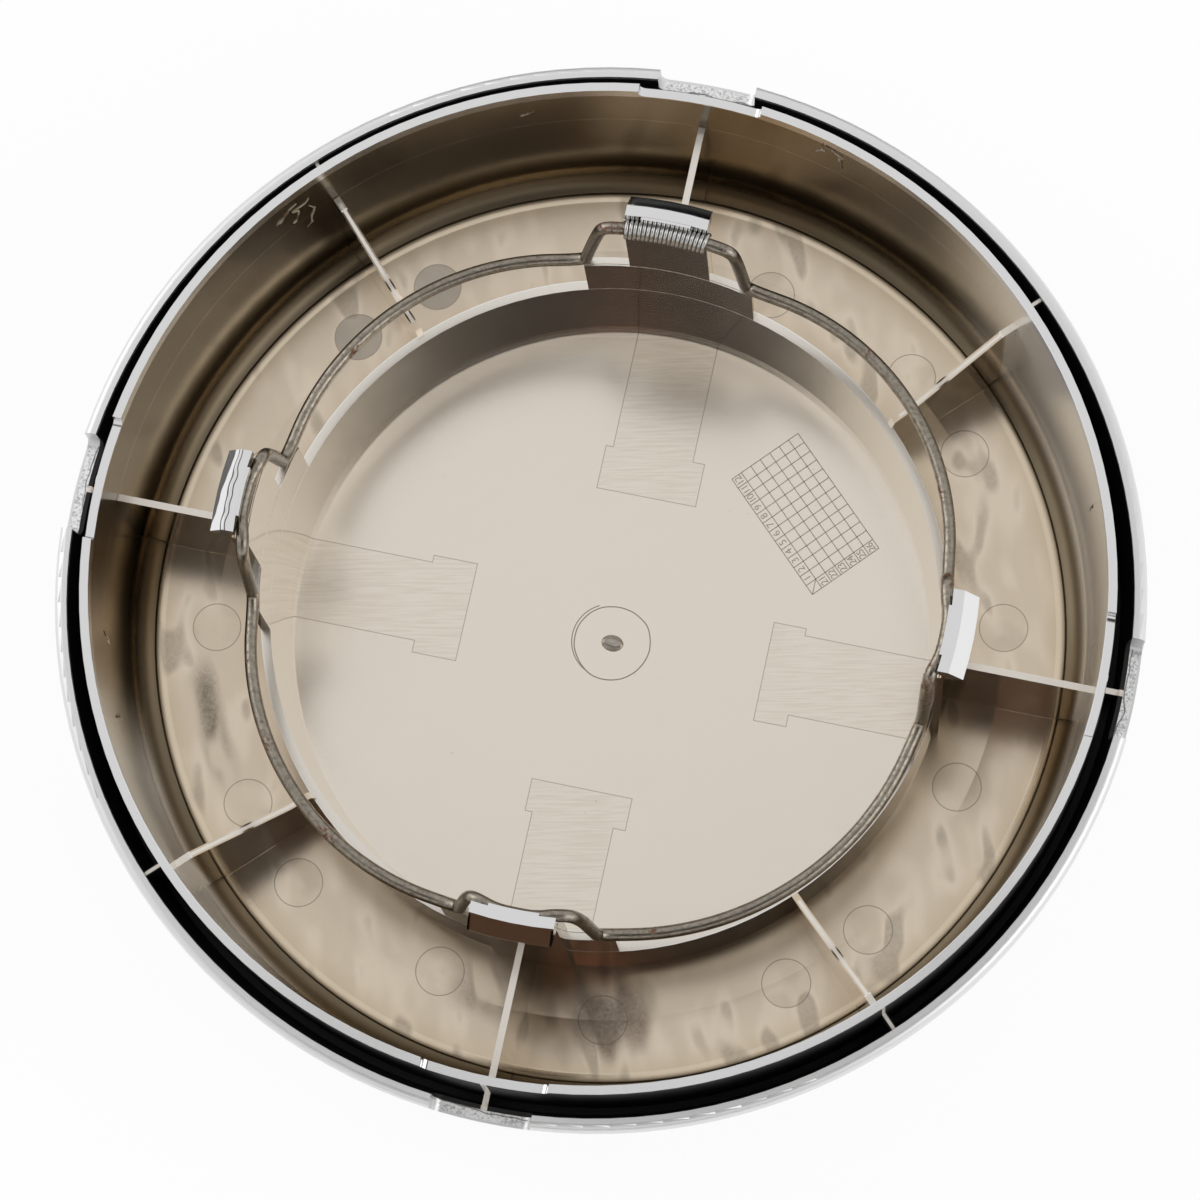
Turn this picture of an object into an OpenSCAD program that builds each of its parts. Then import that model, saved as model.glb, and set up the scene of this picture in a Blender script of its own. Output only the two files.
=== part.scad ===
// Wheel centre cap seen from its hub side: a deep moulded cap with four sprung
// clip legs, a retaining wire that pushes the legs outwards, and a close-wound
// coil that joins the two ends of the wire.
// The cap stands on its front boss, +Z points to the hub, units are millimetres.

/* [Rim lip] */
// Outer radius of the whole cap, at the lip
lip_r = 85; // [84:0.5:95]
// Height of the lip's top above the front boss
lip_z = 40; // [38:0.5:43]
// Width of the lip wall at its top
lip_w = 2; // [1.4:0.1:2.6]
// Radius of the lip's rounded outer edge
lip_round = 1.2; // [0.4:0.1:1.3]
// Half angle of each notch in the lip, beside a leg
notch_half = 5.3; // [3:0.1:8]
// Depth of each notch below the lip
notch_depth = 4.8; // [2.2:0.1:7]
// Radius of the fillets at the two ends of a notch
notch_round = 1.6; // [0.3:0.1:1.9]

/* [Channel behind the lip] */
// Depth of the channel below the lip
channel_depth = 10; // [8:0.5:14]
// Width of the channel at its bottom
channel_foot = 1.1; // [0.7:0.1:1.6]
// Thickness of the small ribs that cross the channel
channel_rib_w = 0.9; // [0.6:0.1:1.6]
// Drop of the channel ribs between the legs, below the lip
channel_rib_drop = 1; // [0.4:0.1:4]

/* [Skirt and bowl] */
// Distance from the lip's outer edge in to the skirt's outer face
skirt_inset = 5; // [4.4:0.1:5.8]
// Height of the skirt's top above the lip
skirt_rise = 5.5; // [2:0.5:8]
// Thickness of the skirt at its top
skirt_w = 1.35; // [1:0.05:1.8]
// Extra thickness of the skirt at its foot, from the mould's draft
skirt_draft = 1; // [0:0.1:1.5]
// Half angle of each lowered stretch of the skirt, behind a leg
low_half = 7.1; // [5.5:0.1:10]
// Depth of each lowered stretch
low_depth = 1.9; // [0.8:0.1:3]
// Radius of the fillets at the two ends of a lowered stretch
low_round = 1.2; // [0.3:0.1:1.6]
// How far the lip stands out beyond the cap's side
side_inset = 3.7; // [2.6:0.1:4]
// Rounding of the front edge
front_round = 10; // [6:0.5:11]
// Height at which the side starts to flare out to the lip
flare_z = 23; // [20:0.5:25]
// Fillet where the skirt meets the floor
floor_fillet = 5; // [3:0.5:6]

/* [Floor and front boss] */
// Wall thickness of the front
wall = 3; // [2.4:0.1:3.4]
// How far the edge of the front boss lies outside the ring's inner face
boss_over = 0.5; // [0.1:0.1:1.1]
// Height of the raised boss
boss_h = 5.4; // [4:0.1:7]
// Rounding of the boss edge
boss_round = 1.6; // [0.5:0.1:1.9]

/* [Hub ring] */
// Inner radius of the hub ring, at its top
ring_r = 53.5; // [53:0.1:53.8]
// Thickness of the ring at its top
ring_w = 1.5; // [1.2:0.1:2]
// Upright stretch of the ring's inner face, at its foot
ring_land = 2; // [1:0.1:4]
// Draft of the ring's inner face, from its top down to the upright stretch
ring_draft = 1.4; // [0.4:0.1:1.8]
// Height of the ring's top above the front boss
ring_z = 21.3; // [16:0.1:26]

/* [Radial ribs] */
// Thickness of the eight radial ribs
rib_w = 1.1; // [0.8:0.1:2]
// Height of the ribs at the skirt, and of the shoulders beside the legs
rib_z = 33.5; // [30:0.5:36]
// Width of the level stretch of a sloping rib at the skirt
rib_level = 2.4; // [1:0.1:5]
// Height of a sloping rib's low end above the hub ring
rib_end_rise = 3; // [1:0.1:6]
// Length of the sloping rib's low end in front of the hub ring
rib_end_len = 4; // [2:0.1:6]

/* [Clip legs] */
// Width of a leg
leg_w = 13; // [10:0.5:15]
// Thickness of a leg
leg_t = 2.6; // [2:0.1:3.4]
// Height of the hooks' tops above the front boss
hook_z = 55; // [50:0.5:60]
// How far the hook's inner edge lies outside the ring's inner face
hook_over = 1.5; // [1.1:0.1:1.9]
// Width of the hook's top face
hook_flat = 1.7; // [1.2:0.1:2.4]
// Reach of the hook beyond its top face
hook_reach = 2.3; // [1:0.1:3]
// Height of the hook's outer slope
hook_slope = 2.6; // [1.5:0.1:3.5]
// Width of the tab that laps over the wire
tab_w = 7.8; // [4:0.1:9.6]
// Reach of the tab over the wire
tab_reach = 0.45; // [0.2:0.05:0.8]
// Half angle of the shoulders beside a leg
shoulder_half = 14.8; // [13:0.1:18]
// Rounding of the shoulders' upper corners
shoulder_round = 1.4; // [0.6:0.1:3]

/* [Retaining wire] */
// Diameter of the wire
wire_d = 2; // [1.6:0.1:2.2]
// How far the wire bows out between two legs
wire_bow = 2.6; // [1:0.1:3.4]
// How far the wire lies outside the ring's inner face, beside the legs
wire_over = 0.8; // [0.5:0.1:1.1]
// Gap between the two ends of the wire, inside the coil
wire_gap = 1; // [0.5:0.1:4]

/* [Coil] */
// Diameter of the coil's own wire
coil_wire = 0.64; // [0.5:0.02:0.66]
// Length of the coil
coil_len = 13.2; // [9:0.1:14]
// Number of turns
coil_turns = 19; // [12:1:20]
// Clearance between the wire and the inside of the coil
coil_clear = 0.1; // [0.06:0.01:0.16]

/* [Hidden] */
$fn = 180;

bite = 0.9;                     // how far ribs run into the walls that carry them
lap = 0.5;                      // overlap of pieces that join
over = 1;                       // how far cutting shapes reach past what they cut
seat = 0.03;                    // running clearance between the wire and the moulding
legs = 4;
leg_step = 360 / legs;
skirt_r = lip_r - skirt_inset;
side_r = lip_r - side_inset;
skirt_z = lip_z + skirt_rise;
notch_z = lip_z - notch_depth;
channel_z = lip_z - channel_depth;
lip_in_r = lip_r - lip_w;
floor_z = boss_h + wall;
wall_r = skirt_r - skirt_w - skirt_draft;
ring_out_r = ring_r + ring_w;
ring_foot_r = ring_r - ring_draft;
boss_r = ring_r + boss_over;
hook_in_r = ring_r + hook_over;
wire_r = ring_r + wire_over;
ring_back_draft = 0.3;          // draft of the ring's outer face, down to the floor
skirt_back_draft = 0.3;         // draft of the skirt's outer face, down into the channel
seam = 0.05;                    // step at the mould's seam between the ring and its shoulders
leg_seam = 0.12;                // step between the ring's inner face and a leg's
leg_sweep = leg_w / ring_r * 180 / PI;
leg_back_r = ring_r + leg_t;
shoulder_z = rib_z;
rib_foot_r = ring_r + 0.4;      // inner end of the ribs, within the ring's wall
rib_sink = 0.6;                 // how far a sloping rib's foot stays below the ring's top
rib_end_edge = [0.3, 0.8];      // edge of a sloping rib's end: off the ring, below the end's top
bowl_spread = 0.6;              // how much wider the bowl is at the ribs' tops than at its floor
trough_in_r = skirt_r + 0.6;    // between the skirt and the lip
channel_rib_bite = 0.2;         // how far the channel ribs run into the lip
notch_rib_drop = 0.2;           // drop of the channel ribs at the notches, below the notch
hook_tip = 0.3;                 // height of the hook's blunt tip
hook_root = 2.8;                // height of the hook's underside, from its tip to the leg
hook_knee = [0.5, 1.5];         // bend in the underside: off the leg, below the tip
tab_t = 1.4;                    // thickness of the tab over the wire, with its step
tab_step = 0.05;                // step from the hook's top down to the tab
tab_bite = 0.3;                 // how far the tab runs into the hook

coil_mean_r = (wire_d + coil_wire) / 2 + coil_clear;
coil_out_r = coil_mean_r + coil_wire / 2;
groove_r = coil_out_r + seat;   // the groove takes the coil, and the bare wire lies at its back
groove_z = hook_z - 3.5;        // the groove's middle, 3.5 below the hook's top
groove_at_r = ring_r + 0.5;     // and 0.5 outside the ring's inner face
wire_clip_r = groove_at_r + groove_r - wire_d / 2 - seat;
wire_rest_z = shoulder_z + wire_d / 2 + seat;
wire_end_half = wire_gap / 2 / groove_at_r * 180 / PI;
coil_half = coil_len / 2 / groove_at_r * 180 / PI;
// angles from a leg's middle to the points of the wire's risers, from the foot up
riser_out = [12.1, 11.7, 9.9];          // anticlockwise side of a leg
riser_in = [11.2, 10.6, 8.3];           // clockwise side of a leg
coil_riser_out = [14.3, 14, 11.4, 10.4];
coil_riser_in = [13.4, 13.1, 12, 11];
groove_angles = [3.3, 6.6];     // the wire's points in a groove, from its middle to its edges
riser_low = [3, 2.5];           // a riser's lower knee above the wire's rest: plain, coil
riser_high = [1, 2.5];          // its upper knee below the groove's middle: plain, coil
riser_r = wire_r + 0.1;         // radius of a plain riser's lower knee
wire_sides = 10;                // facets round the wire
coil_sides = 6;                 // facets round the coil's wire
coil_steps = 12;                // points in each turn of the coil
// the wire has set unevenly: how much more or less it bows in each quarter
bow_shift = [0.6, -0.1, 0.3, -1];

// Corner piece with a round bite: fills an inside corner or cuts an outside one.
// It reaches a little past both walls, so that it joins them.
module corner(r, sx, sy) {
    difference() {
        polygon([[-sx * lap, -sy * lap], [sx * r, -sy * lap], [sx * r, sy * r], [-sx * lap, sy * r]]);
        translate([sx * r, sy * r]) circle(r);
    }
}

// What the rim's curve leaves off its blank: an arc that rises from the side and is
// upright where it meets the lip
module rim_cut() {
    rise = lip_z - lip_round - flare_z;
    flare_r = (pow(side_inset, 2) + pow(rise, 2)) / (2 * side_inset);
    difference() {
        translate([side_r, flare_z - lap]) square([side_inset + lap, rise + lap]);
        translate([lip_r - flare_r, lip_z - lip_round]) circle(flare_r);
    }
}

// Half section of the moulding, turned about Z: x is the radius
module shell_section() {
    difference() {
        union() {
            polygon([
                [0, 0], [boss_r, 0], [boss_r, boss_h], [side_r, boss_h], [side_r, flare_z],
                [lip_r, flare_z], [lip_r, lip_z], [lip_in_r, lip_z],
                [skirt_r + skirt_back_draft + channel_foot, channel_z],
                [skirt_r + skirt_back_draft, channel_z],
                [skirt_r, skirt_z], [skirt_r - skirt_w, skirt_z],
                [wall_r, floor_z + floor_fillet], [wall_r, floor_z],
                [ring_out_r + ring_back_draft, floor_z], [ring_out_r, ring_z], [ring_r, ring_z],
                [ring_foot_r, wall + ring_land], [ring_foot_r, wall], [0, wall]]);
            translate([wall_r, floor_z]) corner(floor_fillet, -1, 1);
        }
        translate([side_r, boss_h]) corner(front_round, -1, 1);
        translate([boss_r, 0]) corner(boss_round, -1, 1);
        translate([lip_r, lip_z]) corner(lip_round, -1, -1);
        rim_cut();
    }
}

// Sector of a ring about Z, centred on +X
module sector(r0, r1, z0, z1, half) {
    rotate([0, 0, -half])
        rotate_extrude(angle = 2 * half)
            polygon([[r0, z0], [r1, z0], [r1, z1], [r0, z1]]);
}

// Cutting shape that runs out from the axis: a trough below height z, with filleted ends
module trough(r0, r1, z, half_w, depth, round) {
    translate([r0, 0, z]) rotate([90, 0, 90]) linear_extrude(r1 - r0)
        difference() {
            translate([-half_w, -depth]) square([2 * half_w, depth + over]);
            for (s = [-1, 1]) translate([s * half_w, -depth]) corner(round, -s, 1);
        }
}

// Upright plate on the XZ plane, from an outline given as radius and height
module plate(w) {
    rotate([90, 0, 0]) linear_extrude(w, center = true) children();
}

// Outline of a radial rib, with its outer foot following the floor fillet
module rib_outline(top) {
    difference() {
        polygon(concat([[rib_foot_r, floor_z - bite], [wall_r + bite, floor_z - bite]], top));
        translate([wall_r + bite, floor_z - bite]) corner(floor_fillet + bite, -1, 1);
    }
}

// Level rib that backs a leg
module leg_rib() {
    plate(rib_w) rib_outline([[wall_r + bite, rib_z], [rib_foot_r, rib_z]]);
}

// Rib between two legs, sloping down to the hub ring
module slope_rib() {
    end_z = ring_z + rib_end_rise;
    plate(rib_w) rib_outline([
        [wall_r + bite, rib_z], [wall_r + bowl_spread - rib_level, rib_z],
        [ring_out_r + rib_end_len, end_z],
        [ring_out_r + rib_end_edge[0], end_z - rib_end_edge[1]],
        [ring_out_r - lap, ring_z - rib_sink], [rib_foot_r, ring_z - rib_sink]]);
}

// Outline of a small rib across the channel behind the lip
module channel_rib(top_z) {
    translate([skirt_r - lap, channel_z - lap])
        square([lip_in_r + channel_rib_bite - skirt_r + lap, top_z - channel_z + lap]);
}

// Raised stretch of the hub ring on both sides of a leg, on which the wire rests
module shoulders() {
    half_w = ring_out_r * sin(shoulder_half);
    intersection() {
        sector(ring_r + seam, ring_out_r - seam, ring_z - bite, shoulder_z, shoulder_half);
        rotate([90, 0, 90]) linear_extrude(ring_out_r + over)
            difference() {
                translate([-half_w, 0]) square([2 * half_w, shoulder_z]);
                for (s = [-1, 1]) translate([s * half_w, shoulder_z])
                    corner(shoulder_round, -s, -1);
            }
    }
}

// Section of a leg with its hook and the groove for the wire
module leg_section() {
    tip_z = hook_z - hook_slope;
    tip_r = hook_in_r + hook_flat + hook_reach;
    difference() {
        polygon([
            [leg_back_r, floor_z - bite],
            [leg_back_r, tip_z - hook_root], [leg_back_r + hook_knee[0], tip_z - hook_knee[1]],
            [tip_r, tip_z - hook_tip], [tip_r, tip_z],
            [hook_in_r + hook_flat, hook_z], [hook_in_r, hook_z],
            [hook_in_r, groove_z], [groove_at_r, groove_z - groove_r],
            [ring_r + leg_seam, groove_z - groove_r], [ring_r + leg_seam, ring_z - bite],
            [ring_r + bite, ring_z - bite], [ring_r + bite, floor_z - bite]]);
        translate([groove_at_r, groove_z]) circle(groove_r);
    }
}

module leg() {
    intersection() {
        rotate([0, 0, -leg_sweep]) rotate_extrude(angle = 2 * leg_sweep) leg_section();
        translate([0, -leg_w / 2, 0]) cube([lip_r, leg_w, hook_z + over]);
    }
    // tab over the wire
    intersection() {
        sector(hook_in_r - tab_reach, hook_in_r + tab_bite, hook_z - tab_t, hook_z - tab_step,
               leg_sweep);
        translate([0, -tab_w / 2, 0]) cube([lip_r, tab_w, hook_z + over]);
    }
}

module cap_body() color("#c9bda8") {
    difference() {
        rotate_extrude() shell_section();
        for (i = [0 : legs - 1]) rotate([0, 0, i * leg_step]) {
            trough(trough_in_r, lip_r + over, lip_z, lip_r * sin(notch_half), notch_depth, notch_round);
            trough(wall_r - over, trough_in_r, skirt_z, skirt_r * sin(low_half), low_depth, low_round);
        }
    }
    for (i = [0 : legs - 1]) rotate([0, 0, i * leg_step]) {
        leg();
        shoulders();
        leg_rib();
        rotate([0, 0, leg_step / 2]) slope_rib();
        plate(channel_rib_w)
            channel_rib(notch_z - notch_rib_drop);
        rotate([0, 0, leg_step / 2]) plate(channel_rib_w)
            channel_rib(lip_z - channel_rib_drop);
    }
}

// Point from cylindrical coordinates
function cyl(r, a, z) = [r * cos(a), r * sin(a), z];
function unit(v) = v / norm(v);

// Corner cutting: each pass replaces the inner corners of an open path by two points
function soften(p, n) = n == 0 ? p : soften(
    concat([p[0]],
           [for (i = [0 : len(p) - 2]) for (t = [0.25, 0.75])
               if (!(i == 0 && t == 0.25) && !(i == len(p) - 2 && t == 0.75))
                   p[i] + (p[i + 1] - p[i]) * t],
           [p[len(p) - 1]]), n - 1);

// Tube along an open path: refs holds, for each point, a direction across the path
module tube(path, refs, r, sides) {
    last = len(path) - 1;
    points = [for (i = [0 : last])
        let (t = unit(path[min(i + 1, last)] - path[max(i - 1, 0)]),
             u = unit(cross(t, refs[i])),
             v = cross(t, u))
        for (k = [0 : sides - 1])
            path[i] + r * (cos(k * 360 / sides) * u + sin(k * 360 / sides) * v)];
    skin = [for (i = [0 : last - 1]) for (k = [0 : sides - 1])
        [i * sides + k, (i + 1) * sides + k,
         (i + 1) * sides + (k + 1) % sides, i * sides + (k + 1) % sides]];
    first_end = [for (k = [0 : sides - 1]) k];
    last_end = [for (k = [sides - 1 : -1 : 0]) last * sides + k];
    polyhedron(points, concat(skin, [first_end, last_end]));
}

// Wire between two legs, from the foot of one riser to the foot of the next
function wire_bay(a0, a1, bow) = [for (i = [0 : 6])
    let (u = i / 3 - 1)
    cyl(wire_r + bow * (1 - u * u), a0 + (a1 - a0) * i / 6, wire_rest_z)];

// Wire over a leg with no coil: it rises, lies at the back of the groove and falls again
function wire_clip(a) = [for (p = [
        [riser_r, -riser_in[1], wire_rest_z + riser_low[0]],
        [groove_at_r, -riser_in[2], groove_z - riser_high[0]],
        [groove_at_r, -groove_angles[1], groove_z], [wire_clip_r, -groove_angles[0], groove_z],
        [wire_clip_r, 0, groove_z],
        [wire_clip_r, groove_angles[0], groove_z], [groove_at_r, groove_angles[1], groove_z],
        [groove_at_r, riser_out[2], groove_z - riser_high[0]],
        [riser_r, riser_out[1], wire_rest_z + riser_low[0]]])
    cyl(p[0], a + p[1], p[2])];

// One end of the wire: it leaves the coil and falls to the shoulder
function wire_end(a, side, riser) = [for (p = [
        [groove_at_r, wire_end_half, groove_z], [groove_at_r, groove_angles[0], groove_z],
        [groove_at_r, coil_half, groove_z], [groove_at_r, riser[3], groove_z],
        [groove_at_r, riser[2], groove_z - riser_high[1]],
        [wire_r, riser[1], wire_rest_z + riser_low[1]]])
    cyl(p[0], a + side * p[1], p[2])];

function reversed(p) = [for (i = [len(p) - 1 : -1 : 0]) p[i]];

module retaining_wire() color("#8d8477") {
    route = concat(
        wire_end(leg_step, 1, coil_riser_out),
        wire_bay(leg_step + coil_riser_out[0], 2 * leg_step - riser_in[0], wire_bow + bow_shift[1]),
        wire_clip(2 * leg_step),
        wire_bay(2 * leg_step + riser_out[0], 3 * leg_step - riser_in[0], wire_bow + bow_shift[2]),
        wire_clip(3 * leg_step),
        wire_bay(3 * leg_step + riser_out[0], 4 * leg_step - riser_in[0], wire_bow + bow_shift[3]),
        wire_clip(4 * leg_step),
        wire_bay(riser_out[0], leg_step - coil_riser_in[0], wire_bow + bow_shift[0]),
        reversed(wire_end(leg_step, -1, coil_riser_in)));
    path = soften(route, 2);
    tube(path, [for (p = path) unit([p[0], p[1], 0])], wire_d / 2, wire_sides);
}

module coil_spring() color("#9b9a97") {
    last = coil_turns * coil_steps;
    steps = [for (i = [0 : last])
        [leg_step - coil_half + 2 * coil_half * i / last, 360 * i / coil_steps]];
    path = [for (s = steps)
        cyl(groove_at_r + coil_mean_r * cos(s[1]), s[0], groove_z + coil_mean_r * sin(s[1]))];
    tube(path, [for (s = steps) cyl(1, s[0] + 90, 0)], coil_wire / 2, coil_sides);
}

cap_body();
retaining_wire();
coil_spring();
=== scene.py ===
"""Looks of a moulded and plated wheel centre cap, seen from its hub side.

The cap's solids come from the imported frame. This file gives them their finishes,
winds a finer retaining wire and coil, and adds the mould's small marks.
All lengths in the tables below are millimetres, and the meshes are metres.
"""

import math

import bpy
import numpy as np
from bpy.props import FloatProperty, FloatVectorProperty, IntProperty, PointerProperty
from mathutils import Matrix, Vector


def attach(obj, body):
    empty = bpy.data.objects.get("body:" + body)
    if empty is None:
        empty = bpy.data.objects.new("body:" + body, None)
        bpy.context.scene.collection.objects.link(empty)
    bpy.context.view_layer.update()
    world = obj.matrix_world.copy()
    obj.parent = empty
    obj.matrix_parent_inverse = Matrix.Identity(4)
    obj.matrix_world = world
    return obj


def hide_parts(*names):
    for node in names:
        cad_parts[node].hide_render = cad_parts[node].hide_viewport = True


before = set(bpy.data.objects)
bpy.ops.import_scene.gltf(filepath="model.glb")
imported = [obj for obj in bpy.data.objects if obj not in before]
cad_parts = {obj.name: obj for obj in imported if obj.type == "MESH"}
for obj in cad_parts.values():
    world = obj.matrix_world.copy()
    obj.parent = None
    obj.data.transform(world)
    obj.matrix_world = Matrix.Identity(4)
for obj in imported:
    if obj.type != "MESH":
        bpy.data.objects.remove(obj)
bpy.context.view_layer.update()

bl_info = {
    "name": "Wheel centre cap",
    "version": (1, 0, 0),
    "blender": (4, 5, 0),
    "location": "View3D > Sidebar > Centre cap",
    "description": "Finishes, wire, coil and mould marks of a plated wheel centre cap",
    "category": "Object",
}

MM = 0.001
# Angle of the leg that has the coil
COIL_LEG = 90.0
# The picture's own axes are turned from the part's by this angle
PICTURE_TURN = math.radians(12.2)

# Heights of the moulding above its front boss, as in the part's source
DISC_Z, FLOOR_Z, RING_Z, CHANNEL_Z, SHOULDER_Z = 3.0, 8.4, 21.3, 30.0, 33.5
NOTCH_Z, LIP_Z, LOW_SKIRT_Z, SKIRT_Z = 35.2, 40.0, 43.6, 45.5
GROOVE_Z, HOOK_Z = 51.5, 55.0
# Its radii: the ring's inner face, the groove, the ring's outer face, the foot and the top
# of the rounding between floor and wall, the skirt's outer face and the lip's inner face
RING_R, GROOVE_R, RING_OUT_R = 53.5, 54.0, 55.0
FILLET_R, WALL_R, SKIRT_R, LIP_IN_R = 72.65, 77.65, 80.0, 83.0
# Centre of the rounding between the front and the side: radius and height
CORNER_R, CORNER_Z = 71.3, 15.4
# Gap between the wire and what it lies on
SEAT = 0.03


# Mesh helpers

def add_mesh(name, verts, faces, smooth=True):
    """New object from points in millimetres and faces, at the origin."""
    mesh = bpy.data.meshes.new(name)
    mesh.from_pydata((np.asarray(verts) * MM).tolist(), [], [list(map(int, f)) for f in faces])
    mesh.polygons.foreach_set("use_smooth", np.full(len(mesh.polygons), smooth))
    mesh.update()
    obj = bpy.data.objects.new(name, mesh)
    bpy.context.scene.collection.objects.link(obj)
    return obj


def grid_faces(rows, cols, around=False):
    """Quads of a grid of rows x cols points; around joins the last column to the first."""
    i, j = np.meshgrid(np.arange(rows - 1), np.arange(cols if around else cols - 1), indexing="ij")
    k = (j + 1) % cols
    quads = np.stack([i * cols + j, i * cols + k, (i + 1) * cols + k, (i + 1) * cols + j], -1)
    return quads.reshape(-1, 4)


def unit(v):
    """Each vector divided by its length."""
    return v / np.linalg.norm(v, axis=-1, keepdims=True)


def tube_points(path, across, radii, sides):
    """Rings round a path: centre + radius * (cos k * u + sin k * v), where u and v are
    square to the path, and u is square to the given direction across it too."""
    along = unit(np.gradient(path, axis=0))
    u = unit(np.cross(along, across))
    v = np.cross(along, u)
    k = np.linspace(0, 2 * np.pi, sides, endpoint=False)
    ring = np.cos(k)[None, :, None] * u[:, None] + np.sin(k)[None, :, None] * v[:, None]
    return path[:, None] + radii[:, :, None] * ring


def add_tube(name, path, across, radii, sides):
    """Closed tube along a path, with the length along it kept as an attribute."""
    points = tube_points(path, across, radii, sides)
    rows = len(path)
    faces = [list(f[::-1]) for f in grid_faces(rows, sides, around=True)]
    faces.append(list(range(sides)))
    faces.append([(rows - 1) * sides + j for j in range(sides - 1, -1, -1)])
    obj = add_mesh(name, points.reshape(-1, 3), faces)
    length = np.concatenate([[0], np.cumsum(np.linalg.norm(np.diff(path, axis=0), axis=1))])
    layer = obj.data.attributes.new("along", "FLOAT", "POINT")
    layer.data.foreach_set("value", np.repeat(length, sides))
    return obj


def cyl(rows):
    """Points from rows of radius, angle in degrees and height."""
    rows = np.asarray(rows, float)
    a = np.radians(rows[:, 1])
    return np.stack([rows[:, 0] * np.cos(a), rows[:, 0] * np.sin(a), rows[:, 2]], 1)


def soften(points, passes):
    """Corner cutting: each pass puts two points at the quarters of every stretch."""
    for _ in range(passes):
        a, b = points[:-1], points[1:]
        cut = np.stack([a * 0.75 + b * 0.25, a * 0.25 + b * 0.75], 1).reshape(-1, 3)
        points = np.concatenate([points[:1], cut[1:-1], points[-1:]])
    return points


def evenly(points, step):
    """The same path with points about step apart."""
    gone = np.concatenate([[0], np.cumsum(np.linalg.norm(np.diff(points, axis=0), axis=1))])
    where = np.linspace(0, gone[-1], int(gone[-1] / step) + 1)
    return np.stack([np.interp(where, gone, points[:, i]) for i in range(3)], 1)


# Shader helpers

class Signal:
    """One socket of a finish; arithmetic on it adds Math nodes."""

    def __init__(self, finish, socket):
        self.finish, self.socket = finish, socket

    def op(self, operation, *others):
        """Math node with this signal first."""
        return self.finish.node("Math", {"operation": operation}, [self, *others])

    def rop(self, operation, other):
        """Math node with this signal second."""
        return self.finish.node("Math", {"operation": operation}, [other, self])

    def __add__(self, other): return self.op("ADD", other)
    def __sub__(self, other): return self.op("SUBTRACT", other)
    def __mul__(self, other): return self.op("MULTIPLY", other)
    def __radd__(self, other): return self.op("ADD", other)
    def __rsub__(self, other): return self.rop("SUBTRACT", other)
    def __rmul__(self, other): return self.op("MULTIPLY", other)
    def __abs__(self): return self.op("ABSOLUTE")

    def root(self): return self.op("SQRT")
    def square(self): return self * self
    def least(self, other): return self.op("MINIMUM", other)
    def most(self, other): return self.op("MAXIMUM", other)
    def part(self): return self.op("FRACT")

    def rise(self, low, high):
        """0 below low, 1 above high, smooth between."""
        return self.finish.node("MapRange", {"interpolation_type": "SMOOTHSTEP"},
                                {"Value": self, "From Min": low, "From Max": high})

    def fall(self, low, high):
        """1 below low, 0 above high, smooth between."""
        return self.finish.node("MapRange", {"interpolation_type": "SMOOTHSTEP"},
                                {"Value": self, "From Min": low, "From Max": high,
                                 "To Min": 1.0, "To Max": 0.0})

    def within(self, low, high, soft):
        """1 between low and high, 0 outside, with soft edges."""
        return self.rise(low - soft, low + soft) * self.fall(high - soft, high + soft)

    def line(self, at, half):
        """1 at a value, falling to 0 at half a line's width from it."""
        return abs(self - at).fall(half * 0.4, half)


class Finish:
    """A material, built from nodes that all come from node()."""

    def __init__(self, name):
        self.material = bpy.data.materials.new(name)
        self.material.use_nodes = True
        self.tree = self.material.node_tree
        self.tree.nodes.clear()
        place = self.node("TexCoord", output="Object")
        self.place = self.node("VectorMath", {"operation": "SCALE"},
                               {0: place, "Scale": 1 / MM})
        axes = self.node("SeparateXYZ", values=[self.place]).socket.node
        self.x, self.y, self.z = (Signal(self, axes.outputs[i]) for i in range(3))
        self.r = (self.x * self.x + self.y * self.y).root()

    def node(self, kind, settings=None, values=(), output=0):
        """New node: its settings first, then values or links of its sockets."""
        made = self.tree.nodes.new("ShaderNode" + kind)
        for key, value in (settings or {}).items():
            setattr(made, key, value)
        for key, value in (values.items() if isinstance(values, dict) else enumerate(values)):
            if isinstance(value, Signal):
                self.tree.links.new(value.socket, made.inputs[key])
            else:
                made.inputs[key].default_value = value
        return Signal(self, made.outputs[output]) if len(made.outputs) else None

    def blend(self, amount, first, second):
        """Colour between two colours."""
        def full(c):
            return c if isinstance(c, Signal) else (*c, 1.0)
        return self.node("Mix", {"data_type": "RGBA"},
                         {0: amount, 6: full(first), 7: full(second)}, output=2)

    def stretch(self, sx, sy, sz, turn=0.0):
        """The place in millimetres, turned about Z and scaled, for grain that runs one way."""
        turned = self.node("VectorRotate", {"rotation_type": "Z_AXIS"},
                           {"Vector": self.place, "Angle": math.radians(turn)})
        return self.node("VectorMath", {"operation": "MULTIPLY"}, [turned, (sx, sy, sz)])

    def noise(self, scale, detail=2.0, rough=0.5, where=None):
        """Grey cloud pattern; scale is in cells per millimetre."""
        return self.node("TexNoise", {"noise_dimensions": "3D"},
                         {"Vector": where or self.place, "Scale": scale,
                          "Detail": detail, "Roughness": rough})

    def join(self, *parts):
        """Vector from three signals."""
        return self.node("CombineXYZ", values=list(parts))

    def surface(self, colour, metallic, roughness, height):
        """Principled surface with a bump whose height is in millimetres."""
        bump = self.node("Bump", values={"Strength": 1.0, "Distance": MM, "Height": height})
        shader = self.node("BsdfPrincipled", values={
            "Base Color": colour, "Metallic": metallic, "Roughness": roughness, "Normal": bump})
        self.node("OutputMaterial", values={"Surface": shader})
        return self.material


# Finishes

def largest(signals):
    """The greatest of several signals at each point."""
    top = signals[0]
    for s in signals[1:]:
        top = top.most(s)
    return top


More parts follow.
